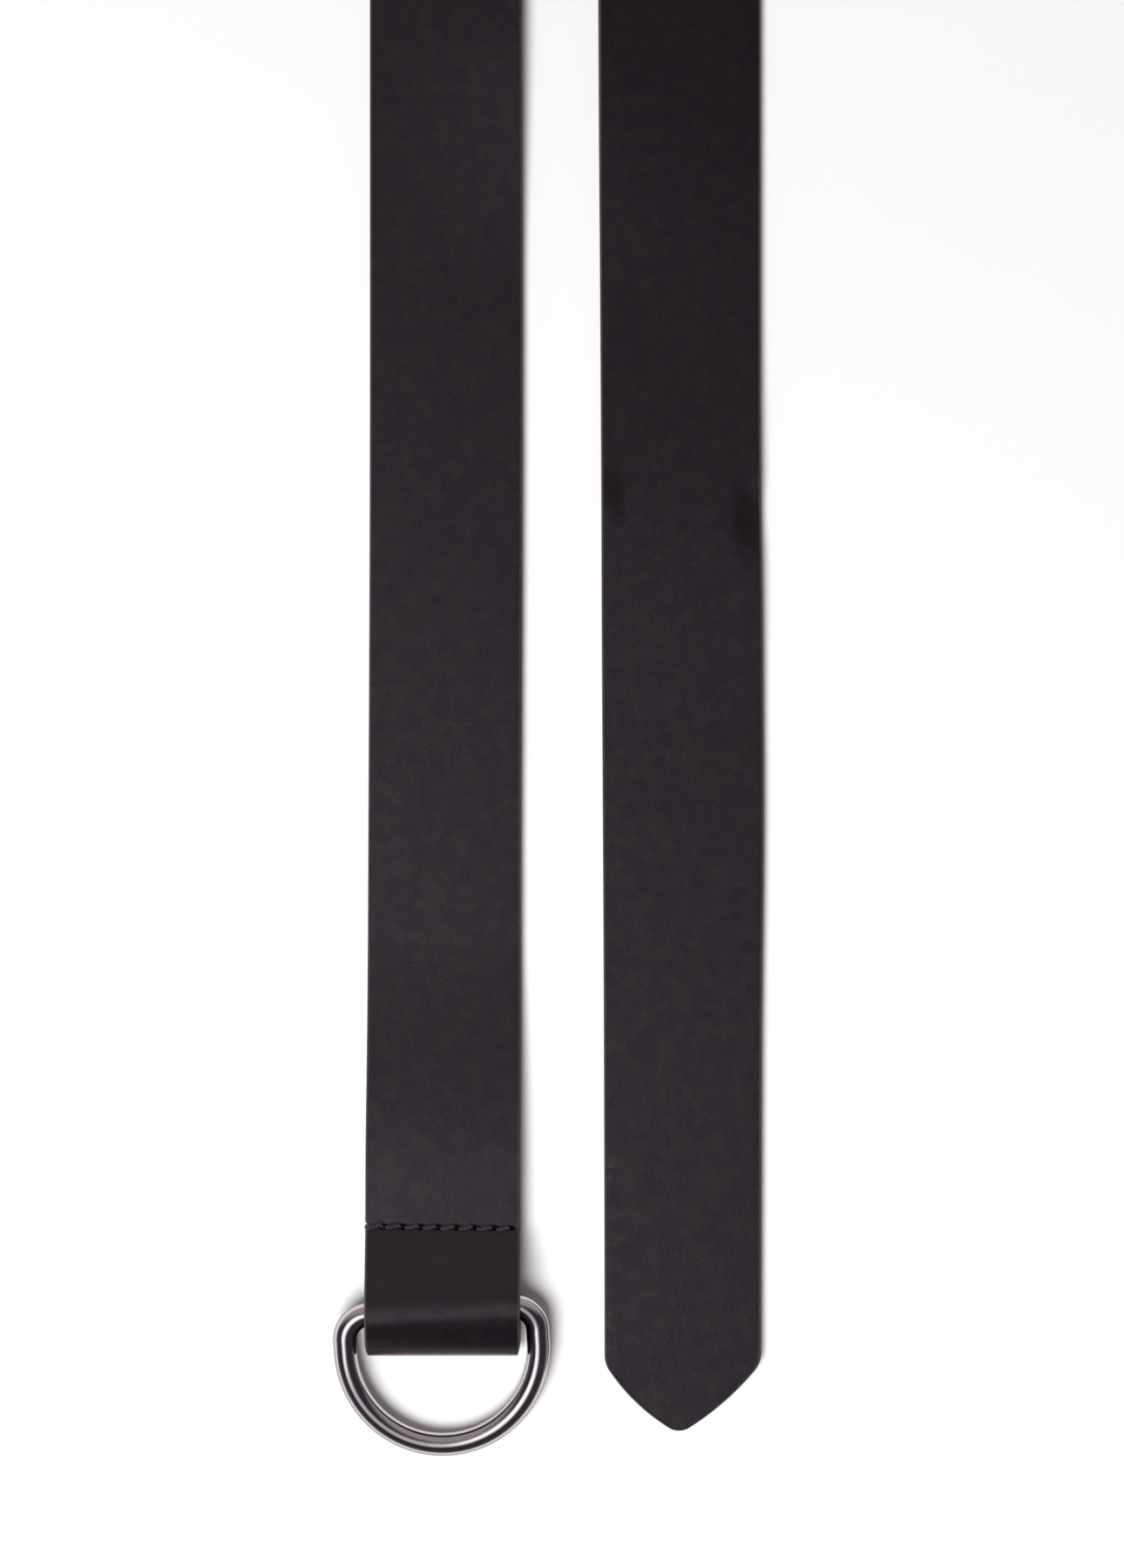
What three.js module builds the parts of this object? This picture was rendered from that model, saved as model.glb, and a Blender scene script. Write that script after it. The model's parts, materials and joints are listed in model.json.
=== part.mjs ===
// A leather belt closed with one ring, lying as it comes to rest on a flat surface.
// Millimetres, +Z up, +Y along the belt, underside on z = 0.
// The ring end folds back round the straight bar of a D-ring. The strap runs along +Y, stands up
// on its outer edge, turns back in a half circle, lies down again and ends in a pointed tail.

import * as THREE from 'three';

// Strap
const STRAP_WIDTH = 40;
const LEATHER = 3;
const EDGE_BEVEL = 0.5;
const STRAND_GAP = 20;
const RING_STRAND = 312.9;
const TAIL_STRAND = 365.1;
const TWIST_LENGTH = 140;
const LEAD_LENGTH = 75;
const LEAD_ROLL = THREE.MathUtils.degToRad(4.5);

// Pointed end
const TIP_RADIUS = 5;
const SHOULDER_RADIUS = 7;
const POINT_ANGLE = THREE.MathUtils.degToRad(58);
const SHOULDER_ANGLE = THREE.MathUtils.degToRad(37);
const TIP_LEAN = 1;

// Folded end
const FLAP_LENGTH = 13;
const STITCH_TO_BAR = 20.8;
const BAR_TO_FOLD = 6.3;
const FOLD_RADIUS = 2.5;
const SEWN_GAP = 0.3;
const STEP_DOWN = 62;
const STITCH_BEND = 2.5;
const BAR_BEND = 4.5;

// D-ring, measured on the middle line of its rod
const ROD = 6;
const RING_SIDE_PLAY = 1.6;
const RING_CORNER = 6.6;
const RING_SIDE = 3.1;
const BOW_DEPTH = 25.2;
const EYE_PLAY = 0.85;
const RING_SHIFT = -0.75;
const RING_YAW = THREE.MathUtils.degToRad(3.5);

// Outline of each flat strand. at runs from its end to the turn, outer is how far the outer edge
// lies inside its straight line and width the strap's width there, both as shares of STRAP_WIDTH.
const RING_STRAND_EDGES = [
  { at: -0.2, outer: -0.002, width: 0.988 },
  { at: 0.00, outer: -0.002, width: 0.988 },
  { at: 0.07, outer: 0.000, width: 0.987 },
  { at: 0.15, outer: 0.007, width: 0.983 },
  { at: 0.29, outer: 0.013, width: 0.976 },
  { at: 0.64, outer: 0.024, width: 0.975 },
  { at: 1.00, outer: 0.023, width: 0.976 },
];
const TAIL_STRAND_EDGES = [
  { at: 0.00, outer: -0.020, width: 0.998 },
  { at: 0.15, outer: -0.022, width: 1.002 },
  { at: 0.27, outer: -0.025, width: 1.008 },
  { at: 0.33, outer: -0.030, width: 1.015 },
  { at: 0.39, outer: -0.036, width: 1.024 },
  { at: 0.45, outer: -0.038, width: 1.029 },
  { at: 0.57, outer: -0.031, width: 1.028 },
  { at: 0.64, outer: -0.022, width: 1.021 },
  { at: 0.72, outer: -0.018, width: 1.021 },
  { at: 1.00, outer: -0.019, width: 1.038 },
];

// Kinks in the tail's edges. at is a share of TAIL_STRAND, edge 0 the outer edge and 1 the inner,
// length and reach are shares of STRAP_WIDTH along and across the strap, rise of LEATHER.
const TAIL_KINKS = [
  { at: 0.640, edge: 0, length: 0.30, reach: 0.20, rise: -0.28 },
  { at: 0.652, edge: 1, length: 0.24, reach: 0.17, rise: 0.20 },
];

// Low arch under the tail by the kinks. length is a share of STRAP_WIDTH and height of LEATHER.
const TAIL_LIFT = { at: 0.645, length: 1.5, height: 0.3 };

// Places across the strap, from bevel to bevel, where a section has points on both faces.
const COLUMNS = [0, 0.06, 0.2, 0.5, 0.8, 0.94, 1];

// Steps along each stretch, and round the three arcs of the pointed end.
const STEPS = {
  fold: 8, bar: 6, rise: 12, stepDown: 12, strand: 14, twist: 16, turn: 24, tail: 28,
  tip: 5, side: 5, shoulder: 4,
};
const ROD_SIDES = 16;
const RING_STEPS = { bar: 4, corner: 6, bow: 28 };

const leatherBlack = new THREE.MeshStandardMaterial({
  color: 0x2b272b, roughness: 0.55, metalness: 0,
});
const polishedNickel = new THREE.MeshStandardMaterial({
  color: 0x8f8c90, roughness: 0.16, metalness: 1,
});

const NUDGE = 1e-4;
const smooth = (t) => t * t * (3 - 2 * t);
const bump = (t) => (Math.abs(t) < 1 ? Math.cos(t * Math.PI / 2) ** 2 : 0);

// Rises from 0 to 1 in a straight line, eased in over the share start and out over the share end.
function ramp(t, start, end) {
  const full = 1 - start / 2 - end / 2;
  if (t < start) return Math.max(t, 0) ** 2 / (2 * start * full);
  if (t > 1 - end) return 1 - Math.max(1 - t, 0) ** 2 / (2 * end * full);
  return (t - start / 2) / full;
}

// Reads a column of a table at a place along it, on a smooth curve through its rows.
function tableAt(table, at, column) {
  const last = table.length - 1;
  if (at <= table[0].at) return table[0][column];
  if (at >= table[last].at) return table[last][column];
  const i = table.findIndex((row) => row.at > at);
  const rise = (from, to) => (table[to][column] - table[from][column]) / (table[to].at - table[from].at);
  const steepness = (row) => rise(Math.max(row - 1, 0), Math.min(row + 1, last));
  const step = table[i].at - table[i - 1].at;
  const t = (at - table[i - 1].at) / step;
  return table[i - 1][column] * (1 - smooth(t)) + table[i][column] * smooth(t)
    + step * t * (1 - t) * (steepness(i - 1) * (1 - t) - steepness(i) * t);
}

// Joins sections, each a ring of as many points, into one closed body facing out.
function loft(sections, closed) {
  const count = sections[0].length;
  const positions = sections.flat().flatMap((p) => [p.x, p.y, p.z]);
  const index = [];
  const steps = closed ? sections.length : sections.length - 1;
  for (let i = 0; i < steps; i += 1) {
    const [here, next] = [i * count, ((i + 1) % sections.length) * count];
    for (let j = 0; j < count; j += 1) {
      const k = (j + 1) % count;
      index.push(here + j, next + k, here + k, here + j, next + j, next + k);
    }
  }
  if (!closed) {
    const end = (sections.length - 1) * count;
    for (let j = 1; j < count / 2; j += 1) {
      const [low, high] = [j, count - j];
      const above = high % count;
      index.push(low - 1, low, above, low, high - 1, above);
      index.push(end + low - 1, end + above, end + low, end + low, end + above, end + high - 1);
    }
  }
  const geometry = new THREE.BufferGeometry();
  geometry.setAttribute('position', new THREE.Float32BufferAttribute(positions, 3));
  geometry.setIndex(index);
  geometry.computeVertexNormals();
  return geometry;
}

const OUTER_LINE = STRAP_WIDTH + STRAND_GAP / 2;
const BAR_HEIGHT = LEATHER + EYE_PLAY + ROD / 2;
const EYE_RADIUS = ROD / 2 + EYE_PLAY;
const loopRow = RING_STRAND_EDGES[0];
const loopCentre = -OUTER_LINE + (loopRow.outer + loopRow.width / 2) * STRAP_WIDTH;
const barX = loopCentre + RING_SHIFT;

// Ring strand, from the stitches at y = 0. The bar lies at y = -STITCH_TO_BAR.
// Returns the flesh side of one lengthwise line of the folded end: its path round the eye in the
// y-z plane, with the bar where it crosses that line, as points with the outward normal.
function foldProfile(x) {
  const barY = -STITCH_TO_BAR + (x - barX) * Math.tan(RING_YAW);
  const foldY = -STITCH_TO_BAR - BAR_TO_FOLD;
  const foldZ = LEATHER + FOLD_RADIUS;
  const [dy, dz] = [barY - foldY, BAR_HEIGHT - foldZ];
  const slope = Math.atan2(dz, dy) + Math.asin((EYE_RADIUS - FOLD_RADIUS) / Math.hypot(dy, dz));
  const points = [];
  const add = (y, z, angle) => points.push({ y, z, ny: Math.cos(angle), nz: Math.sin(angle) });
  const half = Math.PI / 2;

  add(FLAP_LENGTH, LEATHER, -half);
  add(0, LEATHER, -half);
  add(-STITCH_TO_BAR / 2, LEATHER, -half);
  for (let i = 0; i <= STEPS.fold; i += 1) {
    const angle = -half - (Math.PI - slope) * (i / STEPS.fold);
    add(foldY + FOLD_RADIUS * Math.cos(angle), foldZ + FOLD_RADIUS * Math.sin(angle), angle);
  }
  for (let i = 0; i <= STEPS.bar; i += 1) {
    const angle = half + slope * (1 - i / STEPS.bar);
    add(barY + EYE_RADIUS * Math.cos(angle), BAR_HEIGHT + EYE_RADIUS * Math.sin(angle), angle);
  }

  // The upper layer comes down to the stitches in a straight slope, bent at both its ends.
  const sewnZ = LEATHER + SEWN_GAP;
  const eyeTop = BAR_HEIGHT + EYE_RADIUS;
  const bends = [STITCH_BEND / STITCH_TO_BAR, BAR_BEND / STITCH_TO_BAR];
  const upper = (t) => sewnZ + (eyeTop - sewnZ) * ramp(t, ...bends);
  const lower = (t) => sewnZ * (1 - smooth(t));
  const slopeOf = (height, t, run) => (
    Math.atan((height(t + NUDGE) - height(t - NUDGE)) / (2 * NUDGE * run))
  );
  for (let i = 1; i < STEPS.rise; i += 1) {
    const t = 1 - i / STEPS.rise;
    add(barY * t, upper(t), half + slopeOf(upper, t, barY));
  }
  add(0, sewnZ, half);
  add(FLAP_LENGTH, sewnZ, half);
  for (let i = 1; i < STEPS.stepDown; i += 1) {
    const t = i / STEPS.stepDown;
    add(FLAP_LENGTH + STEP_DOWN * t, lower(t), half + slopeOf(lower, t, STEP_DOWN));
  }
  add(FLAP_LENGTH + STEP_DOWN, 0, half);
  return points;
}

// A section of the strap: a closed ring of points from its two edges, counted in from the outer
// line, and a place function that takes a distance across and a height above the flesh side.
function section(edges, place) {
  const [outer, inner] = edges;
  const bevel = Math.min(EDGE_BEVEL, (inner - outer) / 4);
  const face = COLUMNS.map((share) => THREE.MathUtils.lerp(outer + bevel, inner - bevel, share));
  const low = Math.min(EDGE_BEVEL, LEATHER / 3);
  return [
    place(outer, low), ...face.map((x) => place(x, 0)), place(inner, low),
    place(inner, LEATHER - low), ...face.toReversed().map((x) => place(x, LEATHER)),
    place(outer, LEATHER - low),
  ];
}

const edgesOf = (row) => [row.outer * STRAP_WIDTH, (row.outer + row.width) * STRAP_WIDTH];
const rowAt = (table, at) => ({
  outer: tableAt(table, at, 'outer'),
  width: tableAt(table, at, 'width'),
});
const plainRow = { outer: 0, width: 1 };
const blendRows = (from, to, t) => ({
  outer: THREE.MathUtils.lerp(from.outer, to.outer, t),
  width: THREE.MathUtils.lerp(from.width, to.width, t),
});

function foldedEndSections() {
  const count = foldProfile(0).length;
  return Array.from({ length: count }, (_, i) => {
    const y = foldProfile(barX)[i].y;
    const edges = edgesOf(rowAt(RING_STRAND_EDGES, y / RING_STRAND));
    return section(edges, (across, up) => {
      const x = -OUTER_LINE + across;
      const p = foldProfile(x)[i];
      return new THREE.Vector3(x, p.y + up * p.ny, p.z + up * p.nz);
    });
  });
}

// Both strands roll about their outer edge, which stays on the ground, a little before their
// twists and then through a quarter turn. side is -1 on the ring strand and 1 on the tail strand.
function rollAt(y) {
  const lead = smooth(THREE.MathUtils.clamp(1 + (y - RING_STRAND) / LEAD_LENGTH, 0, 1));
  const twist = smooth(THREE.MathUtils.clamp((y - RING_STRAND) / TWIST_LENGTH, 0, 1));
  return LEAD_ROLL * lead + (Math.PI / 2 - LEAD_ROLL) * twist;
}

function rolledPlace(side, outer, y, height = () => 0) {
  const [sin, cos] = [Math.sin(rollAt(y)), Math.cos(rollAt(y))];
  const foot = OUTER_LINE - outer - LEATHER * sin;
  return (across, up) => new THREE.Vector3(
    side * (foot - (across - outer) * cos + up * sin),
    y,
    (across - outer) * sin + up * cos + height(across),
  );
}

function ringStrandSections() {
  const start = FLAP_LENGTH + STEP_DOWN;
  return Array.from({ length: STEPS.strand }, (_, i) => {
    const y = THREE.MathUtils.lerp(start, RING_STRAND, (i + 1) / STEPS.strand);
    const edges = edgesOf(rowAt(RING_STRAND_EDGES, y / RING_STRAND));
    return section(edges, rolledPlace(-1, edges[0], y));
  });
}

function twistSection(side, table, t) {
  const edges = edgesOf(blendRows(rowAt(table, 1), plainRow, t));
  return section(edges, rolledPlace(side, edges[0], RING_STRAND + TWIST_LENGTH * t));
}

function turnSections() {
  const radius = OUTER_LINE - LEATHER;
  const y = RING_STRAND + TWIST_LENGTH;
  return Array.from({ length: STEPS.turn - 1 }, (_, i) => {
    const angle = Math.PI * (1 - (i + 1) / STEPS.turn);
    return section(edgesOf(plainRow), (across, up) => new THREE.Vector3(
      (radius + up) * Math.cos(angle), y + (radius + up) * Math.sin(angle), across,
    ));
  });
}

// Height of the tail strand over the ground, with its low arch and the kinks in its edges.
function tailHeight(at, share) {
  const along = at * TAIL_STRAND;
  const arch = bump((along - TAIL_LIFT.at * TAIL_STRAND) / (TAIL_LIFT.length * STRAP_WIDTH));
  const kinks = TAIL_KINKS.map((kink) => {
    const near = bump((along - kink.at * TAIL_STRAND) / (kink.length * STRAP_WIDTH));
    return kink.rise * near * bump((share - kink.edge) / kink.reach);
  });
  return LEATHER * (TAIL_LIFT.height * arch + kinks.reduce((sum, rise) => sum + rise, 0));
}

// Outline of the pointed end, as half widths at distances back from its point: a small round tip,
// slightly bowed sides and round shoulders, three arcs that run into each other.
function tipOutline() {
  const half = STRAP_WIDTH / 2;
  const sideRadius = (half - TIP_RADIUS * Math.cos(POINT_ANGLE)
    - SHOULDER_RADIUS * (1 - Math.cos(SHOULDER_ANGLE)))
    / (Math.cos(SHOULDER_ANGLE) - Math.cos(POINT_ANGLE));
  const arcs = [
    { radius: TIP_RADIUS, from: Math.PI / 2, to: POINT_ANGLE, steps: STEPS.tip },
    { radius: sideRadius, from: POINT_ANGLE, to: SHOULDER_ANGLE, steps: STEPS.side },
    { radius: SHOULDER_RADIUS, from: SHOULDER_ANGLE, to: 0, steps: STEPS.shoulder },
  ];
  const outline = [];
  let start = { back: 0, half: 0 };
  arcs.forEach(({ radius, from, to, steps }) => {
    for (let i = 1; i <= steps; i += 1) {
      const angle = THREE.MathUtils.lerp(from, to, i / steps);
      outline.push({
        back: start.back + radius * (Math.sin(from) - Math.sin(angle)),
        half: start.half + radius * (Math.cos(angle) - Math.cos(from)),
      });
    }
    start = outline.at(-1);
  });
  return outline;
}

function tailSections() {
  const tip = tipOutline();
  const shoulder = tip.at(-1).back;
  const flat = Array.from({ length: STEPS.tail }, (_, i) => ({
    back: THREE.MathUtils.lerp(TAIL_STRAND, shoulder, (i + 1) / STEPS.tail),
    half: STRAP_WIDTH / 2,
  }));
  return [...flat, ...tip.toReversed().slice(1)].map(({ back, half }) => {
    const at = back / TAIL_STRAND;
    const row = rowAt(TAIL_STRAND_EDGES, at);
    const lean = TIP_LEAN * Math.max(0, 1 - (back / shoulder) ** 2) ** 1.5;
    const middle = (row.outer + row.width / 2) * STRAP_WIDTH + lean;
    const [outer, inner] = [middle - row.width * half, middle + row.width * half];
    const height = (across) => tailHeight(at, (across - outer) / (inner - outer));
    return section([outer, inner], rolledPlace(1, outer, RING_STRAND - TAIL_STRAND + back, height));
  });
}

function strapGeometry() {
  const up = Array.from({ length: STEPS.twist }, (_, i) => (i + 1) / STEPS.twist);
  return loft([
    ...foldedEndSections(),
    ...ringStrandSections(),
    ...up.map((t) => twistSection(-1, RING_STRAND_EDGES, t)),
    ...turnSections(),
    ...up.toReversed().map((t) => twistSection(1, TAIL_STRAND_EDGES, t)),
    twistSection(1, TAIL_STRAND_EDGES, 0),
    ...tailSections(),
  ], false);
}

// The ring in its own frame: the bar along x at y = 0, the bow towards -y.
const BOW_HALF = (STRAP_WIDTH + ROD) / 2 + RING_SIDE_PLAY;
const BOW_REACH = RING_CORNER + RING_SIDE + BOW_DEPTH;

function ringGeometry() {
  const line = [];
  const barHalf = BOW_HALF - RING_CORNER;
  const bowY = -RING_CORNER - RING_SIDE;
  const add = (x, y, dx, dy) => {
    line.push({ at: new THREE.Vector2(x, y), out: new THREE.Vector2(dx, dy).normalize() });
  };
  for (let i = 0; i < RING_STEPS.bar; i += 1) {
    add(THREE.MathUtils.lerp(-barHalf, barHalf, i / RING_STEPS.bar), 0, 0, 1);
  }
  for (let i = 0; i <= RING_STEPS.corner; i += 1) {
    const angle = (Math.PI / 2) * (1 - i / RING_STEPS.corner);
    const [c, s] = [Math.cos(angle), Math.sin(angle)];
    add(barHalf + RING_CORNER * c, RING_CORNER * (s - 1), c, s);
  }
  for (let i = 0; i <= RING_STEPS.bow; i += 1) {
    const angle = -Math.PI * (i / RING_STEPS.bow);
    const [c, s] = [Math.cos(angle), Math.sin(angle)];
    add(BOW_HALF * c, bowY + BOW_DEPTH * s, c * BOW_DEPTH, s * BOW_HALF);
  }
  for (let i = 0; i < RING_STEPS.corner; i += 1) {
    const angle = Math.PI - (Math.PI / 2) * (i / RING_STEPS.corner);
    const [c, s] = [Math.cos(angle), Math.sin(angle)];
    add(-barHalf + RING_CORNER * c, RING_CORNER * (s - 1), c, s);
  }
  const sections = line.map(({ at, out }) => Array.from({ length: ROD_SIDES }, (_, j) => {
    const turn = (-2 * Math.PI * j) / ROD_SIDES;
    const [c, s] = [(ROD / 2) * Math.cos(turn), (ROD / 2) * Math.sin(turn)];
    return new THREE.Vector3(at.x + out.x * c, at.y + out.y * c, s);
  }));
  return loft(sections, true);
}

const strap = new THREE.Mesh(strapGeometry(), leatherBlack);
strap.name = 'strap';

const dRing = new THREE.Mesh(ringGeometry(), polishedNickel);
dRing.name = 'd_ring';
dRing.rotation.x = Math.asin((BAR_HEIGHT - ROD / 2) / BOW_REACH);

const ringSeat = new THREE.Group();
ringSeat.position.set(barX, -STITCH_TO_BAR, BAR_HEIGHT);
ringSeat.rotation.z = RING_YAW;
ringSeat.add(dRing);

const laidOut = new THREE.Group();
laidOut.add(strap, ringSeat);

// The origin is the middle of the belt's own box, on the surface that it lies on.
const box = new THREE.Box3().setFromObject(laidOut, true);
laidOut.position.set(-(box.min.x + box.max.x) / 2, -(box.min.y + box.max.y) / 2, -box.min.z);

const ringBelt = new THREE.Group();
ringBelt.add(laidOut);

export default ringBelt;
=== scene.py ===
"""Looks of a leather ring belt lying on a pale floor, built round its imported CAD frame.

Lengths of the belt are in millimetres, in a frame with its stitches at y = 0, as in the CAD.
at_rest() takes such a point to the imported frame, which is in metres.
"""

import json
import math
from functools import partial

import bpy
from mathutils import Matrix, Vector, noise


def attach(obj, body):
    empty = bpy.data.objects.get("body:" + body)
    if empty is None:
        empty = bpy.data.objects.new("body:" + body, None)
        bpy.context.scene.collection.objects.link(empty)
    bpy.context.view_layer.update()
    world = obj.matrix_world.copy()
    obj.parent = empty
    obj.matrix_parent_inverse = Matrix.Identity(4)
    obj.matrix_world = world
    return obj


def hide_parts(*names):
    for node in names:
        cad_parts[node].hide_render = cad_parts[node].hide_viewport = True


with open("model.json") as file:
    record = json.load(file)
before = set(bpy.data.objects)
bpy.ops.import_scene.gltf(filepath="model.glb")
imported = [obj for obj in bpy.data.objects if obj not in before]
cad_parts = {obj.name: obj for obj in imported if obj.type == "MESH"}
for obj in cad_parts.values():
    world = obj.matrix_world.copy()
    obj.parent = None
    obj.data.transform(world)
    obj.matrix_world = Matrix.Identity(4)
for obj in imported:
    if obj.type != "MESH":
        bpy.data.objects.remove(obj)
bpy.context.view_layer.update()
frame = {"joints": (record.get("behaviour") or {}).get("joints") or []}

MM = 0.001
QUARTER = math.pi / 2

# Strap
STRAP_WIDTH = 40.0
LEATHER = 3.0
STRAND_GAP = 20.0
RING_STRAND = 312.9
TAIL_STRAND = 365.1
TWIST_LENGTH = 140.0
LEAD_LENGTH = 75.0
LEAD_ROLL = math.radians(4.5)
GRAIN_ROUND = 0.6
FLESH_ROUND = 0.5
STRAND_STEP = 2.6
TWIST_STEPS = 40
TURN_STEPS = 48

# Columns of points across each face: their distances in from an edge, and how many lie between.
GRAIN_NEAR = [0, 0.04, 0.12, 0.24, 0.36, 0.48, GRAIN_ROUND, 0.72, 0.84, 1.0, 1.3, 1.7]
GRAIN_COLUMNS = 90
FLESH_NEAR = [0, 0.08, 0.22, 0.5]
FLESH_COLUMNS = 18
FLESH_CUT = 2
NARROWEST_COLUMN = 0.02

# Pointed end
TIP_RADIUS = 5.0
SHOULDER_RADIUS = 7.0
POINT_ANGLE = math.radians(58)
SHOULDER_ANGLE = math.radians(37)
TIP_LEAN = 1.0
TIP_STEPS = (14, 16, 10)
INSET_PAST_SHOULDER = 3
OUTLINE_PAST_SHOULDER = 6

# Folded end
FLAP_LENGTH = 13.0
STITCH_TO_BAR = 20.8
BAR_TO_FOLD = 6.3
FOLD_RADIUS = 2.5
SEWN_GAP = 0.3
STEP_DOWN = 62.0
STITCH_BEND = 2.5
BAR_BEND = 4.5
ARCH_RISE = 0.5
ARCH_INTO_NOSE = 2.0
NOSE_ROUND = 0.55
NOSE_ROUND_ANGLE = 1.4
FOLD_STEPS = 18
FLAT_STEPS = 10
BAR_STEPS = 10
FLAP_STEP = 1.0
LOWER_STEP = 1.6
UPPER_STEP = 0.7
SLOPE_STEP = 1.2

# D-ring
ROD = 6.0
RING_SIDE_PLAY = 1.6
RING_CORNER = 6.6
RING_SIDE = 3.1
BOW_DEPTH = 25.2
EYE_PLAY = 0.85
RING_SHIFT = -0.75
RING_YAW = math.radians(3.5)
ROD_SIDES = 40
RING_BAR_STEP = 2.0
CORNER_STEPS = 24
BOW_STEPS = 128
BOW_HALF = (STRAP_WIDTH + ROD) / 2 + RING_SIDE_PLAY
BOW_REACH = RING_CORNER + RING_SIDE + BOW_DEPTH

# Outline of each flat strand: its place along, its outer edge and its width, as shares.
RING_STRAND_EDGES = [
    (-0.2, -0.002, 0.988),
    (0.00, -0.002, 0.988),
    (0.07, 0.000, 0.987),
    (0.15, 0.007, 0.983),
    (0.29, 0.013, 0.976),
    (0.64, 0.024, 0.975),
    (1.00, 0.023, 0.976),
]
TAIL_STRAND_EDGES = [
    (0.00, -0.020, 0.998),
    (0.15, -0.022, 1.002),
    (0.27, -0.025, 1.008),
    (0.33, -0.030, 1.015),
    (0.39, -0.036, 1.024),
    (0.45, -0.038, 1.029),
    (0.57, -0.031, 1.028),
    (0.64, -0.022, 1.021),
    (0.72, -0.018, 1.021),
    (1.00, -0.019, 1.038),
]

# Kinks in the tail's edges: along, edge, length, reach and rise, as in the CAD.
TAIL_KINKS = [(0.640, 0, 0.30, 0.20, -0.28), (0.652, 1, 0.24, 0.17, 0.20)]
TAIL_LIFT = (0.645, 1.5, 0.3)

# Small creases that run in from the tail's inner edge: distance from the point, length, depth.
NICKS = [(67.5, 2.6, 0.22), (64.4, 2.2, 0.14), (29.5, 2.0, 0.2), (26.7, 1.5, 0.15), (21.1, 1.6, 0.16)]
NICK_WIDTH = 0.45
NICK_STEP = 0.4
NICKS_FROM = 72

# Stretches of the tail: their farther end from the point, and the step between sections.
TAIL_STRETCHES = [(TAIL_STRAND, STRAND_STEP), (70, NICK_STEP), (62, STRAND_STEP), (32, NICK_STEP)]

# Line creased along the edges, as height and distance in from the edge: a lip and a groove.
CREASE = [(0.045, 0.42), (-0.01, 0.8)]
CREASE_WIDTH = 0.16

# Unevenness of the grain side: its length along, its length across, its seed and its height.
UNDULATION = [(26, 16, 2.7, 0.02), (8, 6, 11.3, 0.008)]
UNDULATION_FADE = 2.5

OUTER_LINE = STRAP_WIDTH + STRAND_GAP / 2
BAR_HEIGHT = LEATHER + EYE_PLAY + ROD / 2
EYE_RADIUS = ROD / 2 + EYE_PLAY
LOOP_CENTRE = (
    -OUTER_LINE + (RING_STRAND_EDGES[0][1] + RING_STRAND_EDGES[0][2] / 2) * STRAP_WIDTH
)
BAR_X = LOOP_CENTRE + RING_SHIFT

# Stitches: each hole's distance from the outer line, the row's slant and the thread. Dents in
# the leather are given as depth and half width.
HOLE_DROP = -0.32
HOLE_HALF = (0.74, 0.66)
HOLE_DEPTH = 1.7
HOLE_DISH = (0.08, 2.4)
ROW_GROOVE = (0.18, 1.2)
UNDER_GROOVE = (1.1, 1.1)
ROW_NEAR = 3.0
ROW_REACH = 4
ROW_END = 0.8
ROW_STEP = 0.4
STITCH_HOLES = [4.60, 9.58, 14.18, 18.62, 23.24, 27.82, 32.82, 37.18]
ROW_SLANT = 0.02
THREAD = 1.05
THREAD_NOTCH = (0.75, 1.1)
THREAD_DEPTH = 1.6
THREAD_SUNK = 0.4
THREAD_RUN = 0.5
THREAD_CLEAR = 0.05
THREAD_STEPS = 30
PLY_SHARE = 0.46
PLY_SIDES = 10
THREAD_PLIES = 3
THREAD_TWIST = 2.9
STITCH_LOW = -0.38
STITCH_HIGH = 0.58
STITCH_START = 0.5
STITCH_STOP = 0.45

# Setting, in metres. The key's place is from its aim. Each overhead light is given as width,
# radiance and colour.
PHOTO_CENTRE = (0.00335, -0.10935)
CAMERA_HEIGHT = 1.203
SENSOR = 36
LENS = 108
FLOOR_Z = -0.0004
FLOOR_HALF = 3.0
KEY_PLACE = (-0.75, -1.15, 2.7)
KEY_AIM = (-0.01, -0.12, 0)
KEY_WIDTH = 1.9
KEY_RADIANCE = 12.8
KEY_COLOUR = (0.985, 0.985, 1.0)
OVERHEAD_PLACE = (-0.48, -0.50, 1.5)
OVERHEAD_APART = 0.01
OVERHEAD = [
    (0.85, 1.0, (1.0, 0.98, 0.99)),
    (1.2, 0.33, (1.0, 0.98, 1.0)),
    (1.6, 0.26, (0.98, 0.97, 1.0)),
]

bar_at = frame["joints"][0]["pos_m"]
ORIGIN = Vector((bar_at[0] / MM - BAR_X, bar_at[1] / MM + STITCH_TO_BAR, 0))


def at_rest(point):
    return (Vector(point) + ORIGIN) * MM


def lerp(a, b, t):
    return a + (b - a) * t


def smooth(t):
    t = min(max(t, 0.0), 1.0)
    return t * t * (3 - 2 * t)


def bump(t):
    return math.cos(t * math.pi / 2) ** 2 if abs(t) < 1 else 0.0


def row_at(table, at):
    """Outer edge and width of a strand at a place along it, on a smooth curve through the rows."""
    last = len(table) - 1
    if at <= table[0][0]:
        return table[0][1:]
    if at >= table[last][0]:
        return table[last][1:]
    i = next(n for n, row in enumerate(table) if row[0] > at)

    def steepness(n, column):
        low, high = table[max(n - 1, 0)], table[min(n + 1, last)]
        return (high[column] - low[column]) / (high[0] - low[0])

    step = table[i][0] - table[i - 1][0]
    t = (at - table[i - 1][0]) / step
    return tuple(
        lerp(table[i - 1][c], table[i][c], smooth(t))
        + step * t * (1 - t) * (steepness(i - 1, c) * (1 - t) - steepness(i, c) * t)
        for c in (1, 2)
    )


def edges_at(table, at):
    outer, width = row_at(table, at)
    return outer * STRAP_WIDTH, (outer + width) * STRAP_WIDTH


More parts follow.
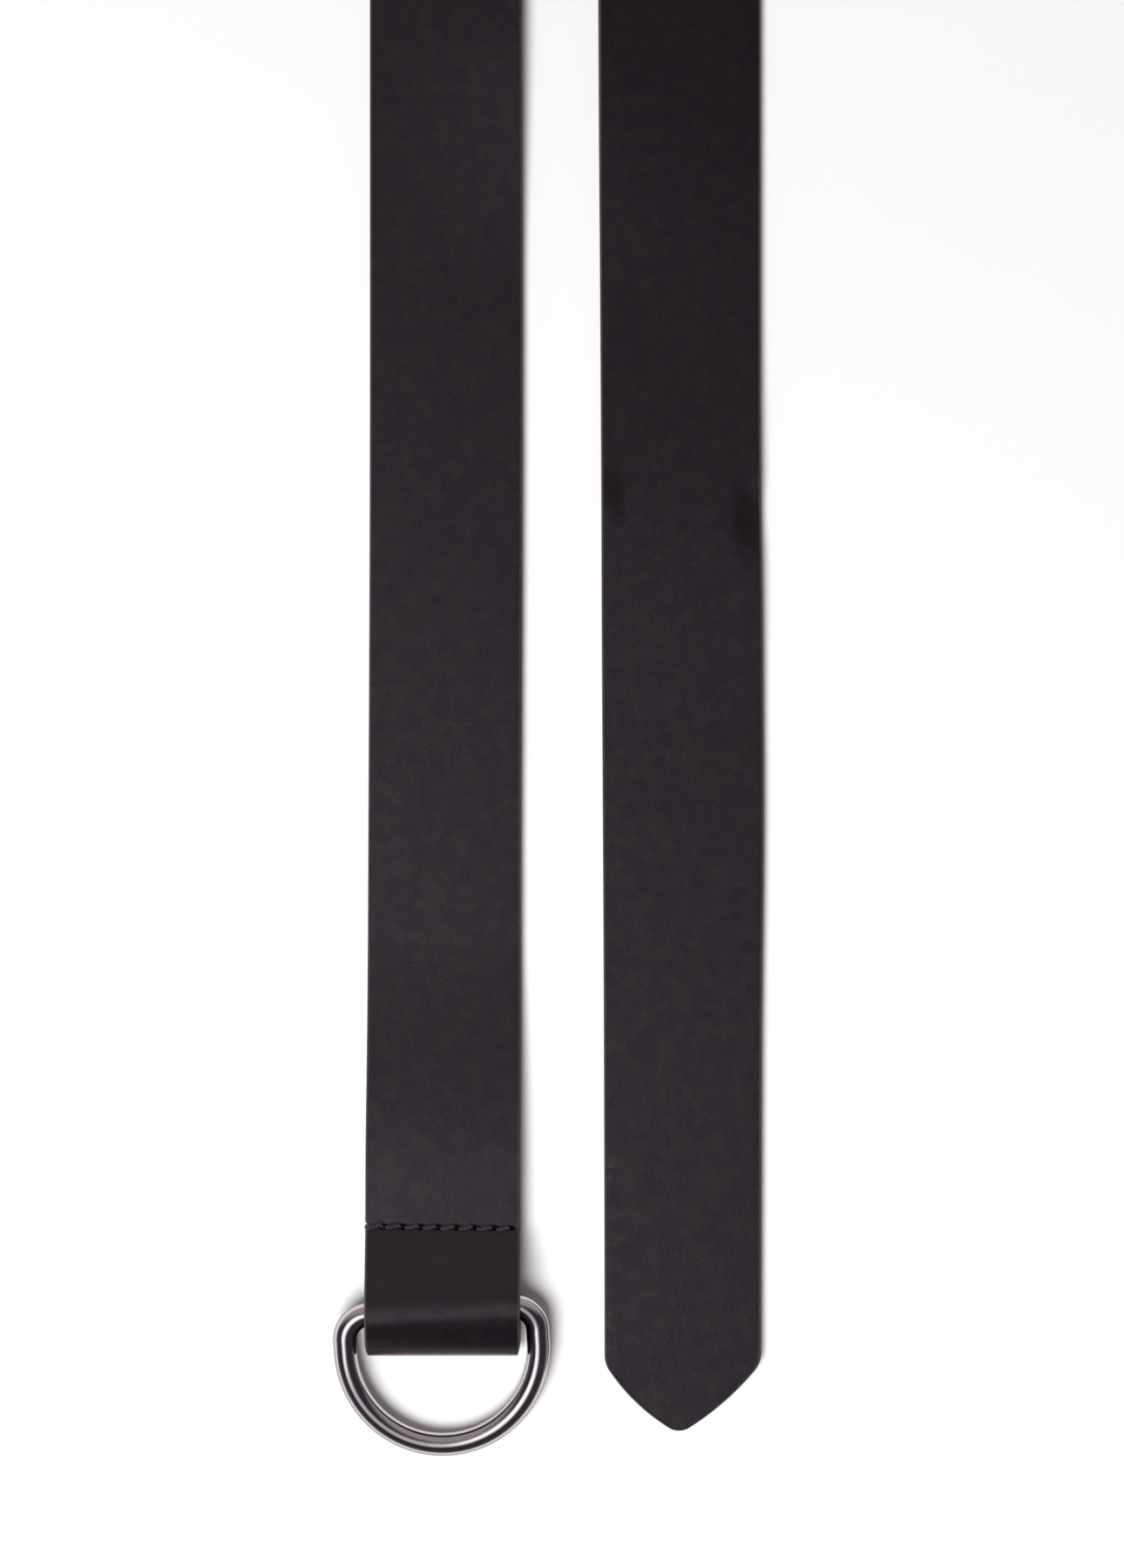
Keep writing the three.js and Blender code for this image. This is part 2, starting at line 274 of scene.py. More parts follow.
def columns(near, middle, width):
    """Distances in from the outer edge: close together by both edges, even between."""
    near = [min(d, width * NARROWEST_COLUMN * (i + 1)) for i, d in enumerate(near)]
    span = width - 2 * near[-1]
    inside = [near[-1] + span * (i + 1) / (middle + 1) for i in range(middle)]
    return near + inside + [width - d for d in reversed(near)]


def rounded(depth, radius):
    """How far a rounded corner lies below its face at a distance in from the edge."""
    if depth >= radius:
        return 0.0
    return radius - math.sqrt(max(radius**2 - (radius - depth) ** 2, 0.0))


class Station:
    """One section of the strap. place takes across and up, relief(across) raises the grain,
    and inset(across) is how far in from the outline a point lies, where the ends are shaped."""

    def __init__(self, edges, place, along, relief=None, inset=None, under=False):
        self.edges = edges
        self.place = place
        self.along = along
        self.relief = relief
        self.inset = inset
        self.under = under

    def ring(self):
        outer, inner = self.edges
        width = inner - outer

        def face(near, middle, radius, grain):
            made = []
            for d in columns(near, middle, width):
                across = outer + d
                depth = self.inset(across) if self.inset else min(d, width - d)
                low = rounded(depth, radius)
                if not grain:
                    made.append(self.place(across, low))
                    continue
                rise = undulation(self.along, across) * smooth(depth / UNDULATION_FADE)
                rise += crease(depth)
                if self.relief:
                    rise += self.relief(across)
                if self.under:
                    rise = min(rise, 0.0)
                made.append(self.place(across, LEATHER - low + rise))
            return made

        flesh = face(FLESH_NEAR, FLESH_COLUMNS, FLESH_ROUND, False)
        grain = face(GRAIN_NEAR, GRAIN_COLUMNS, GRAIN_ROUND, True)
        middle = LEATHER / 2
        return flesh + [self.place(inner, middle)] + grain[::-1] + [self.place(outer, middle)]


def crease(depth):
    """The line creased along an edge: a slight lip, and a groove inside it."""
    return sum(
        height * math.exp(-(((depth - at) / CREASE_WIDTH) ** 2)) for height, at in CREASE
    )


def undulation(along, across):
    return sum(
        height * noise.noise(Vector((along / length, across / breadth, seed)))
        for length, breadth, seed, height in UNDULATION
    )


def ramp(t, start, end):
    """From 0 to 1 in a straight line, eased in over the share start and out over the share end."""
    full = 1 - start / 2 - end / 2
    if t < start:
        return max(t, 0.0) ** 2 / (2 * start * full)
    if t > 1 - end:
        return 1 - max(1 - t, 0.0) ** 2 / (2 * end * full)
    return (t - start / 2) / full


def upper_layer(t):
    """Flesh side of the upper layer, from the stitches at 0 to the top of the bar at 1."""
    sewn = LEATHER + SEWN_GAP
    slope = ramp(t, STITCH_BEND / STITCH_TO_BAR, BAR_BEND / STITCH_TO_BAR)
    return sewn + (BAR_HEIGHT + EYE_RADIUS - sewn) * slope


def lower_layer(t):
    return (LEATHER + SEWN_GAP) * (1 - smooth(t))


def slope_of(height, t, run):
    nudge = 1e-4
    return math.atan((height(t + nudge) - height(t - nudge)) / (2 * nudge * run))


def on_arc(y, z, radius, angle):
    return y + radius * math.cos(angle), z + radius * math.sin(angle)


def fold_shape(x):
    """Measures of one lengthwise line of the folded end: where the bar and the fold's middle lie,
    the slope between them, and the lengths over which the grain side bulges."""
    bar_y = -STITCH_TO_BAR + (x - BAR_X) * math.tan(RING_YAW)
    fold_y = -STITCH_TO_BAR - BAR_TO_FOLD
    fold_z = LEATHER + FOLD_RADIUS
    dy, dz = bar_y - fold_y, BAR_HEIGHT - fold_z
    reach = math.hypot(dy, dz)
    slope = math.atan2(dz, dy) + math.asin((EYE_RADIUS - FOLD_RADIUS) / reach)
    flat = math.sqrt(reach**2 - (EYE_RADIUS - FOLD_RADIUS) ** 2)
    over_bar = slope * (EYE_RADIUS + LEATHER)
    return bar_y, fold_y, fold_z, slope, flat, over_bar


def lower_profile(fold_y):
    """The lower layer, from the flap's end to the fold."""
    flap = spaced(FLAP_LENGTH, ROW_NEAR, FLAP_STEP)[:-1] + spaced(ROW_NEAR, -ROW_NEAR, ROW_STEP)
    under_bar = spaced(-ROW_NEAR, fold_y, LOWER_STEP)[1:-1]
    return [(y, LEATHER, -QUARTER, 0) for y in flap + under_bar]


def nose_profile(fold_y, fold_z, slope, flat, over_bar):
    """Round the fold, from the lower layer to where the flat part begins."""
    whole = ARCH_INTO_NOSE + flat + over_bar
    points = []
    for i in range(FOLD_STEPS + 1):
        angle = -QUARTER - (math.pi - slope) * i / FOLD_STEPS
        outward = angle + 2 * math.pi
        to_go = (outward - QUARTER - slope) * (FOLD_RADIUS + LEATHER)
        arch = max(0.0, ARCH_INTO_NOSE - to_go) / whole
        points.append((*on_arc(fold_y, fold_z, FOLD_RADIUS, angle), outward, arch))
    return points


def over_bar_profile(start, bar_y, slope, flat, over_bar):
    """From the fold's last point over the flat to the bar, and up to its top."""
    whole = ARCH_INTO_NOSE + flat + over_bar
    end = on_arc(bar_y, BAR_HEIGHT, EYE_RADIUS, QUARTER + slope)
    points = []
    for i in range(1, FLAT_STEPS):
        t = i / FLAT_STEPS
        y, z = lerp(start[0], end[0], t), lerp(start[1], end[1], t)
        points.append((y, z, QUARTER + slope, (ARCH_INTO_NOSE + flat * t) / whole))
    for i in range(BAR_STEPS + 1):
        angle = QUARTER + slope * (1 - i / BAR_STEPS)
        arch = 1 - over_bar / whole * (1 - i / BAR_STEPS)
        points.append((*on_arc(bar_y, BAR_HEIGHT, EYE_RADIUS, angle), angle, arch))
    return points


def upper_profile(bar_y):
    """The upper layer, from the top of the bar down to the stitches and the flat strand."""
    near = ROW_NEAR / STITCH_TO_BAR
    shares = spaced(1.0, near, UPPER_STEP / STITCH_TO_BAR)[1:]
    shares += [y / STITCH_TO_BAR for y in spaced(ROW_NEAR, 0.0, ROW_STEP)[1:]]
    points = []
    for t in shares:
        angle = QUARTER + slope_of(upper_layer, t, bar_y)
        points.append((bar_y * t, upper_layer(t), angle, 0))
    flap = spaced(0.0, ROW_NEAR, ROW_STEP)[1:] + spaced(ROW_NEAR, FLAP_LENGTH, FLAP_STEP)[1:]
    points += [(y, LEATHER + SEWN_GAP, QUARTER, 0) for y in flap]
    for t in spaced(0.0, 1.0, SLOPE_STEP / STEP_DOWN)[1:]:
        angle = QUARTER + slope_of(lower_layer, t, STEP_DOWN)
        points.append((FLAP_LENGTH + STEP_DOWN * t, lower_layer(t), angle, 0))
    return points


def fold_profile(x):
    """Flesh side of one lengthwise line of the folded end, as (y, z, outward angle, arch).

    arch is the share passed of the way over which the grain side bulges, from the nose to the
    top of the bar.
    """
    bar_y, fold_y, fold_z, slope, flat, over_bar = fold_shape(x)
    points = lower_profile(fold_y) + nose_profile(fold_y, fold_z, slope, flat, over_bar)
    points += over_bar_profile(points[-1], bar_y, slope, flat, over_bar)
    return points + upper_profile(bar_y)


def spaced(start, end, step):
    """Values from start to end, both kept, about a step apart."""
    count = max(1, round(abs(end - start) / step))
    return [lerp(start, end, i / count) for i in range(count + 1)]


def row_y(across):
    """Where the row of stitches runs at a distance across the strap."""
    return (STRAP_WIDTH / 2 - across) * ROW_SLANT


def stitch_relief(across, y, under):
    """The pull of the thread on the leather: a groove along the row, and the holes."""
    off = y - row_y(across)
    if abs(off) > ROW_REACH:
        return 0.0
    end = smooth((STITCH_HOLES[-1] + ROW_END - across) / ROW_END)
    depth, half = UNDER_GROOVE if under else ROW_GROOVE
    pull = -depth * bump(off / half) * end
    if under:
        return pull
    dish, spread = HOLE_DISH
    for hole in STITCH_HOLES:
        away = math.hypot((across - hole) / HOLE_HALF[0], (off - HOLE_DROP) / HOLE_HALF[1])
        pull -= HOLE_DEPTH * math.exp(-(away**4)) + dish * math.exp(-((away / spread) ** 2))
    return pull


def folded_end():
    middle_line = fold_profile(BAR_X)
    lines = {}

    def profile(x):
        key = round(x, 4)
        if key not in lines:
            lines[key] = fold_profile(x)
        return lines[key]

    stations = []
    along = 0.0
    for i, (y, z, angle, arch) in enumerate(middle_line):
        if i:
            along += math.hypot(y - middle_line[i - 1][0], z - middle_line[i - 1][1])
        outer, inner = edges_at(RING_STRAND_EDGES, y / RING_STRAND)
        nose = bump((angle - math.pi) / NOSE_ROUND_ANGLE) * NOSE_ROUND
        notch = THREAD_NOTCH[0] * bump((y - row_y(outer)) / THREAD_NOTCH[1])
        edges = (outer + nose + notch, inner - nose)
        swell = ARCH_RISE * math.sin(math.pi * arch) ** 2

        def place(across, up, i=i, swell=swell):
            x = -OUTER_LINE + across
            py, pz, turn, _ = profile(x)[i]
            out = up + swell * smooth(up / LEATHER)
            return Vector((x, py + out * math.cos(turn), pz + out * math.sin(turn)))

        under = angle < 0
        relief = partial(stitch_relief, y=y, under=under)
        stations.append(Station(edges, place, along, relief, None, under))
    return stations, along


def roll_at(y):
    """Both strands roll a little before their twists, and then through a quarter turn."""
    lead = smooth(1 + (y - RING_STRAND) / LEAD_LENGTH)
    twist = smooth((y - RING_STRAND) / TWIST_LENGTH)
    return LEAD_ROLL * lead + (math.pi / 2 - LEAD_ROLL) * twist


def rolled_place(side, outer, y, height=None):
    """Places a section that rolls about its outer edge, which stays on the ground."""
    s, c = math.sin(roll_at(y)), math.cos(roll_at(y))
    foot = OUTER_LINE - outer - LEATHER * s

    def place(across, up):
        inward = across - outer
        rise = height(across) if height else 0.0
        return Vector((side * (foot - inward * c + up * s), y, inward * s + up * c + rise))

    return place


def ring_strand(along):
    start = FLAP_LENGTH + STEP_DOWN
    stations = []
    for y in spaced(start, RING_STRAND, STRAND_STEP)[1:]:
        edges = edges_at(RING_STRAND_EDGES, y / RING_STRAND)
        stations.append(Station(edges, rolled_place(-1, edges[0], y), along + y - start))
    return stations, along + RING_STRAND - start


def twist_station(side, table, t, along):
    row = row_at(table, 1)
    outer, width = lerp(row[0], 0, t) * STRAP_WIDTH, lerp(row[1], 1, t) * STRAP_WIDTH
    place = rolled_place(side, outer, RING_STRAND + TWIST_LENGTH * t)
    return Station((outer, outer + width), place, along)


def turn_station(angle, along):
    radius = OUTER_LINE - LEATHER
    y = RING_STRAND + TWIST_LENGTH

    def place(across, up):
        reach = radius + up
        return Vector((reach * math.cos(angle), y + reach * math.sin(angle), across))

    return Station((0.0, STRAP_WIDTH), place, along)


def tail_height(at, share):
    """Height of the tail over the ground, with its low arch and the kinks in its edges."""
    along = at * TAIL_STRAND
    lift_at, lift_length, lift = TAIL_LIFT
    arch = bump((along - lift_at * TAIL_STRAND) / (lift_length * STRAP_WIDTH))
    kinks = [
        rise
        * bump((along - place * TAIL_STRAND) / (length * STRAP_WIDTH))
        * bump((share - edge) / reach)
        for place, edge, length, reach, rise in TAIL_KINKS
    ]
    return LEATHER * (lift * arch + sum(kinks))


def nick_relief(across, back, inner):
    """The creases by the tail's inner edge, at a distance back from its point."""
    inward = inner - across
    return -sum(
        depth * math.exp(-(((back - at) / NICK_WIDTH) ** 2)) * smooth(1 - inward / length)
        for at, length, depth in NICKS
    )


def tip_outline():
    """Half widths of the pointed end at distances back from its point, on three arcs."""
    half = STRAP_WIDTH / 2
    side_radius = (
        half
        - TIP_RADIUS * math.cos(POINT_ANGLE)
        - SHOULDER_RADIUS * (1 - math.cos(SHOULDER_ANGLE))
    ) / (math.cos(SHOULDER_ANGLE) - math.cos(POINT_ANGLE))
    arcs = [
        (TIP_RADIUS, QUARTER, POINT_ANGLE),
        (side_radius, POINT_ANGLE, SHOULDER_ANGLE),
        (SHOULDER_RADIUS, SHOULDER_ANGLE, 0),
    ]
    outline = []
    back, wide = 0.0, 0.0
    for (radius, start, end), steps in zip(arcs, TIP_STEPS):
        for i in range(1, steps + 1):
            angle = lerp(start, end, i / steps)
            farther = back + radius * (math.sin(start) - math.sin(angle))
            wider = wide + radius * (math.cos(angle) - math.cos(start))
            outline.append((farther, wider))
        back, wide = outline[-1]
    return outline


def distance_to_line(x, y, line):
    best = math.inf
    for (ax, ay), (bx, by) in zip(line, line[1:]):
        dx, dy = bx - ax, by - ay
        t = min(max(((x - ax) * dx + (y - ay) * dy) / (dx * dx + dy * dy), 0), 1)
        best = min(best, math.hypot(x - ax - t * dx, y - ay - t * dy))
    return best


def tail_edges(back, half, shoulder):
    """The tail's two edges at a distance back from its point, by its half width there."""
    outer, width = row_at(TAIL_STRAND_EDGES, back / TAIL_STRAND)
    lean = TIP_LEAN * max(0.0, 1 - (back / shoulder) ** 2) ** 1.5
    middle = (outer + width / 2) * STRAP_WIDTH + lean
    return middle - width * half, middle + width * half


def tail(along):
    tip = tip_outline()
    shoulder = tip[-1][0]
    rows = []
    ends = [far for far, _ in TAIL_STRETCHES[1:]] + [shoulder]
    for (far, step), end in zip(TAIL_STRETCHES, ends):
        rows += spaced(far, end, step)[1:]
    shape = [(back, STRAP_WIDTH / 2) for back in rows[:-1]] + tip[::-1]
    outlined = shoulder + OUTLINE_PAST_SHOULDER
    near_tip = [
        (back, *tail_edges(back, half, shoulder)) for back, half in shape if back < outlined
    ]
    outline = [(outer, back) for back, outer, _ in near_tip]
    outline += [(inner, back) for back, _, inner in reversed(near_tip)]

    stations = []
    for back, half in shape:
        edges = tail_edges(back, half, shoulder)
        inset = None
        if back < shoulder + INSET_PAST_SHOULDER:
            inset = partial(distance_to_line, y=back, line=outline)

        def height(across, back=back, edges=edges):
            share = (across - edges[0]) / (edges[1] - edges[0])
            return tail_height(back / TAIL_STRAND, share)

        relief = None
        if back < NICKS_FROM:
            relief = partial(nick_relief, back=back, inner=edges[1])
        place = rolled_place(1, edges[0], RING_STRAND - TAIL_STRAND + back, height)
        stations.append(Station(edges, place, along + TAIL_STRAND - back, relief, inset))
    return stations


def strap_stations():
    stations, along = folded_end()
    more, along = ring_strand(along)
    stations += more
    for i in range(1, TWIST_STEPS + 1):
        t = i / TWIST_STEPS
        stations.append(twist_station(-1, RING_STRAND_EDGES, t, along + TWIST_LENGTH * t))
    along += TWIST_LENGTH
    length = math.pi * OUTER_LINE
    for i in range(1, TURN_STEPS):
        t = i / TURN_STEPS
        stations.append(turn_station(math.pi * (1 - t), along + length * t))
    along += length
    for i in range(TWIST_STEPS + 1):
        t = i / TWIST_STEPS
        stations.append(twist_station(1, TAIL_STRAND_EDGES, 1 - t, along + TWIST_LENGTH * t))
    return stations + tail(along + TWIST_LENGTH)


def mesh_object(name, vertices, faces, materials):
    mesh = bpy.data.meshes.new(name)
    mesh.from_pydata([at_rest(v) for v in vertices], [], faces)
    for material in materials:
        mesh.materials.append(material)
    mesh.validate()
    mesh.shade_smooth()
    made = bpy.data.objects.new(name, mesh)
    bpy.context.scene.collection.objects.link(made)
    return made


def tube_faces(rows, count, first=0, closed=False):
    """Faces between rows of points round a tube, facing out where the rows run clockwise."""
    faces = []
    for i in range(rows if closed else rows - 1):
        here, ahead = first + i * count, first + (i + 1) % rows * count
        for j in range(count):
            k = (j + 1) % count
            faces.append((here + j, ahead + j, ahead + k, here + k))
    return faces


def make_strap(materials):
    rings = [station.ring() for station in strap_stations()]
    count = len(rings[0])
    vertices = [p for ring in rings for p in ring]
    faces = tube_faces(len(rings), count)
    faces.append(tuple(range(count)))
    faces.append(tuple(reversed(range(len(vertices) - count, len(vertices)))))
    strap = mesh_object("belt_leather", vertices, faces, materials)
    paint_strap_sides(strap, len(rings), count)
    return strap


def paint_strap_sides(strap, rows, count):
    """Grain face 0, cut edge 1 and flesh face 2, by a face's place round its section."""
    flesh = 2 * len(FLESH_NEAR) + FLESH_COLUMNS
    grain = 2 * len(GRAIN_NEAR) + GRAIN_COLUMNS
    # Slot 1 also takes the grain's rounded corners, whose lighter colour paints the highlight line
    # along the edges.
    cut = GRAIN_NEAR.index(GRAIN_ROUND)
    for i, polygon in enumerate(strap.data.polygons):
        j = i % count
        if i >= (rows - 1) * count:
            polygon.material_index = 1
        elif FLESH_CUT <= j < flesh - 1 - FLESH_CUT:
            polygon.material_index = 2
        elif flesh + 1 + cut <= j < flesh + grain - cut:
            polygon.material_index = 0
        else:
            polygon.material_index = 1


def grain_height(y):
    """Top of the leather over the floor by the stitches."""
    if y < 0:
        t = y / (-STITCH_TO_BAR)
        return upper_layer(t) + LEATHER
    return LEATHER + SEWN_GAP + LEATHER


def thread_path(a, b, top):
    """Centre line of one stitch: out of the leather by a, across it, and down into it by b."""
    radius = THREAD / 2
    points = []
    for t in spaced(0, 1, 1 / THREAD_STEPS):
        across = lerp(a, b, t)
        lift = smooth((across - a) / THREAD_RUN) * smooth((b - across) / THREAD_RUN)
        y = row_y(across) + lerp(STITCH_LOW, STITCH_HIGH, t) * lift + HOLE_DROP * (1 - lift)
        if top:
            z = grain_height(y) + radius * THREAD_SUNK * lift - THREAD_DEPTH * (1 - lift)
        else:
            z = radius + THREAD_CLEAR + THREAD_DEPTH * (1 - lift)
        points.append(Vector((-OUTER_LINE + across, y, z)))
    return points


def wrap_path():
    """The first stitch: up the strap's cut edge and over its corner into the first hole."""
    radius = THREAD / 2
    side = edges_at(RING_STRAND_EDGES, 0)[0] + radius * 0.5
    top = grain_height(0) + radius * THREAD_SUNK
    corner, bend, depth = 0.9, 0.55, 1.5
    path = [(side, z) for z in spaced(radius + 0.5, top - corner, 0.3)]
    for angle in spaced(math.pi, math.pi / 2, math.pi / 16)[1:]:
        across = side + corner + corner * math.cos(angle)
        path.append((across, top - corner + corner * math.sin(angle)))
    end = STITCH_HOLES[0] - 0.1
    for across in spaced(side + corner, end, 0.12)[1:]:
        lift = math.sin(math.pi / 2 * min(1.0, (end - across) / bend))
        path.append((across, top - (depth + radius * THREAD_SUNK) * (1 - lift)))
    points = []
    for across, z in path:
        slant = lerp(STITCH_LOW, STITCH_HIGH, smooth((across - side) / (end - side)))
        if across > end - bend:
            slant = lerp(HOLE_DROP, slant, (end - across) / bend)
        points.append(Vector((-OUTER_LINE + across, row_y(across) + slant, z)))
    return points


def add_thread(path, phase, vertices, faces):
    """A thread of twisted plies round a centre line."""
    ply = THREAD / 2 * PLY_SHARE
    orbit = THREAD / 2 - ply
    sides = PLY_SIDES
    length = 0.0
    frames = []
    up = Vector((0, 1, 0))
    for i, p in enumerate(path):
        ahead = path[min(i + 1, len(path) - 1)] - path[max(i - 1, 0)]
        tangent = ahead.normalized()
        across = tangent.cross(up).normalized()
        if i:
            length += (p - path[i - 1]).length
        frames.append((p, tangent, across, across.cross(tangent), length))
    for strand in range(THREAD_PLIES):
        first = len(vertices)
        for p, tangent, u, v, along in frames:
            turn = phase + 2 * math.pi * (strand / THREAD_PLIES + along / THREAD_TWIST)
            out = u * math.cos(turn) + v * math.sin(turn)
            lay = (tangent + out.cross(tangent) * -2 * math.pi * orbit / THREAD_TWIST).normalized()
            side = out.cross(lay).normalized()
            centre = p + out * orbit
            for j in range(sides):
                angle = -2 * math.pi * j / sides
                vertices.append(centre + (out * math.cos(angle) + side * math.sin(angle)) * ply)
        faces += tube_faces(len(frames), sides, first)
        faces.append(tuple(range(first, first + sides)))
        faces.append(tuple(reversed(range(len(vertices) - sides, len(vertices)))))


def make_stitches(material):
    vertices, faces = [], []
    add_thread(wrap_path(), 0.4, vertices, faces)
    for n, (a, b) in enumerate(zip(STITCH_HOLES, STITCH_HOLES[1:])):
        path = thread_path(a + STITCH_START, b - STITCH_STOP, True)
        add_thread(path, 0.9 + 0.5 * n, vertices, faces)
    stitches = mesh_object("stitches_upper", vertices, faces, [material])
    vertices, faces = [], []
    starts = [edges_at(RING_STRAND_EDGES, 0)[0] + 0.4] + STITCH_HOLES
    for n, (a, b) in enumerate(zip(starts, starts[1:])):
        add_thread(thread_path(a, b, False), 0.6 * n, vertices, faces)
    return stitches, mesh_object("stitches_under", vertices, faces, [material])


def ring_line():
    """Middle line of the rod with its outward direction: bar along x, bow towards -y."""
    line = []
    bar_half = BOW_HALF - RING_CORNER
    bow_y = -RING_CORNER - RING_SIDE

    def add(x, y, dx, dy):
        line.append((Vector((x, y, 0)), Vector((dx, dy, 0)).normalized()))

    for x in spaced(-bar_half, bar_half, RING_BAR_STEP)[:-1]:
        add(x, 0, 0, 1)
    for angle in spaced(QUARTER, 0, QUARTER / CORNER_STEPS):
        c, s = math.cos(angle), math.sin(angle)
        add(bar_half + RING_CORNER * c, RING_CORNER * (s - 1), c, s)
    add(BOW_HALF, -RING_CORNER - RING_SIDE / 2, 1, 0)
    for angle in spaced(0, -math.pi, math.pi / BOW_STEPS):
        c, s = math.cos(angle), math.sin(angle)
        add(BOW_HALF * c, bow_y + BOW_DEPTH * s, c * BOW_DEPTH, s * BOW_HALF)
    add(-BOW_HALF, -RING_CORNER - RING_SIDE / 2, -1, 0)
    for angle in spaced(math.pi, QUARTER, QUARTER / CORNER_STEPS)[:-1]:
        c, s = math.cos(angle), math.sin(angle)
        add(-bar_half + RING_CORNER * c, RING_CORNER * (s - 1), c, s)
    return line


def make_ring(material):
    line = ring_line()
    lean = Matrix.Rotation(math.asin((BAR_HEIGHT - ROD / 2) / BOW_REACH), 4, "X")
    seat = Matrix.Translation((BAR_X, -STITCH_TO_BAR, BAR_HEIGHT))
    seat = seat @ Matrix.Rotation(RING_YAW, 4, "Z") @ lean
    vertices = []
    for at, out in line:
        for j in range(ROD_SIDES):
            angle = -2 * math.pi * j / ROD_SIDES
            reach = out * math.cos(angle) + Vector((0, 0, 1)) * math.sin(angle)
            vertices.append(seat @ (at + reach * (ROD / 2)))
    faces = tube_faces(len(line), ROD_SIDES, closed=True)
    return mesh_object("ring_polished", vertices, faces, [material])


class Nodes:
    """A material's node tree, with short calls to add and join its nodes."""

    def __init__(self, name):
        self.material = bpy.data.materials.new(name)
        self.material.use_nodes = True
        self.tree = self.material.node_tree
        self.shader = self.tree.nodes["Principled BSDF"]

    def add(self, kind):
        return self.tree.nodes.new(kind)

    def join(self, source, output, target, inlet):
        self.tree.links.new(source.outputs[output], target.inputs[inlet])

    def noise(self, coordinates, scale, detail, roughness=0.5):
        node = self.add("ShaderNodeTexNoise")
        node.inputs["Scale"].default_value = scale
        node.inputs["Detail"].default_value = detail
        node.inputs["Roughness"].default_value = roughness
        self.join(coordinates, "Object", node, "Vector")
        return node

    def ramp(self, source, output, stops):
        """A colour ramp. Each stop is a place with a colour, or with one value for its grey."""
        node = self.add("ShaderNodeValToRGB")
        elements = node.color_ramp.elements
        while len(elements) < len(stops):
            elements.new(0.5)
        for element, (at, colour) in zip(elements, stops):
            element.position = at
            element.color = (*colour, 1) if isinstance(colour, tuple) else (colour,) * 3 + (1,)
        self.join(source, output, node, "Fac")
        return node

    def bump(self, source, output, distance, strength, below=None):
        node = self.add("ShaderNodeBump")
        node.inputs["Strength"].default_value = strength
        node.inputs["Distance"].default_value = distance
        self.join(source, output, node, "Height")
        if below:
            self.join(below, "Normal", node, "Normal")
        return node


def leather_material():
    """Smooth black leather with a faint plum cast: fine pores, mottled in colour and gloss."""
    n = Nodes("black_leather")
    where = n.add("ShaderNodeTexCoord")
    mottle = n.noise(where, scale=240, detail=6, roughness=0.65)
    pores = n.add("ShaderNodeTexVoronoi")
    pores.inputs["Scale"].default_value = 1700
    n.join(where, "Object", pores, "Vector")
    tones = [
        (0.36, (0.0034, 0.0018, 0.0036)),
        (0.5, (0.0048, 0.0030, 0.0044)),
        (0.64, (0.0070, 0.0053, 0.0051)),
    ]
    n.join(n.ramp(mottle, "Fac", tones), "Color", n.shader, "Base Color")
    n.join(n.ramp(mottle, "Fac", [(0.36, 0.47), (0.64, 0.39)]), "Color", n.shader, "Roughness")
    soft = n.bump(mottle, "Fac", distance=0.00012, strength=0.5)
    fine = n.bump(pores, "Distance", distance=0.00005, strength=0.6, below=soft)
    n.join(fine, "Normal", n.shader, "Normal")
    n.join(soft, "Normal", n.shader, "Coat Normal")
    n.shader.inputs["Specular IOR Level"].default_value = 0.52
    n.shader.inputs["Specular Tint"].default_value = (0.98, 0.83, 0.97, 1)
    n.shader.inputs["Coat Weight"].default_value = 0.42
    n.shader.inputs["Coat Roughness"].default_value = 0.27
    return n.material


def edge_material_painted_highlight():
    """The cut edge: dyed, burnished smooth, with the fibres showing faintly brown; its colour is also
    painted much lighter than the grain, as a painted highlight line along the edges.
    """
    n = Nodes("burnished_edge_painted_highlight")
    where = n.add("ShaderNodeTexCoord")
    fibres = n.noise(where, scale=900, detail=4)
    # These light tones are partly the brown of the edge fibres and partly a painted highlight line
    # along the edges.
    colour = n.ramp(fibres, "Fac", [(0.35, (0.038, 0.029, 0.032)), (0.75, (0.060, 0.047, 0.050))])
    n.join(colour, "Color", n.shader, "Base Color")
    gloss = n.ramp(fibres, "Fac", [(0.3, 0.36), (0.7, 0.46)])
    n.join(gloss, "Color", n.shader, "Roughness")
    n.join(n.bump(fibres, "Fac", distance=0.00005, strength=0.5), "Normal", n.shader, "Normal")
    return n.material


def flesh_material():
    """The back of the leather: dyed dark and left rough."""
    n = Nodes("leather_back")
    where = n.add("ShaderNodeTexCoord")
    nap = n.noise(where, scale=1400, detail=5, roughness=0.7)
    patches = n.noise(where, scale=70, detail=3)
    colour = n.ramp(patches, "Fac", [(0.3, (0.016, 0.013, 0.013)), (0.7, (0.030, 0.024, 0.022))])
    n.join(colour, "Color", n.shader, "Base Color")
    gloss = n.ramp(nap, "Fac", [(0.3, 0.8), (0.7, 0.95)])
    n.join(gloss, "Color", n.shader, "Roughness")
    n.join(n.bump(nap, "Fac", distance=0.00015, strength=0.8), "Normal", n.shader, "Normal")
    return n.material


def thread_material():
    """Black waxed thread."""
    n = Nodes("waxed_thread")
    where = n.add("ShaderNodeTexCoord")
    fibres = n.noise(where, scale=3200, detail=3)
    colour = n.ramp(fibres, "Fac", [(0.3, (0.034, 0.029, 0.034)), (0.7, (0.072, 0.064, 0.074))])
    n.join(colour, "Color", n.shader, "Base Color")
    gloss = n.ramp(fibres, "Fac", [(0.3, 0.24), (0.7, 0.36)])
    n.join(gloss, "Color", n.shader, "Roughness")
    n.join(n.bump(fibres, "Fac", distance=0.00004, strength=0.5), "Normal", n.shader, "Normal")
    return n.material


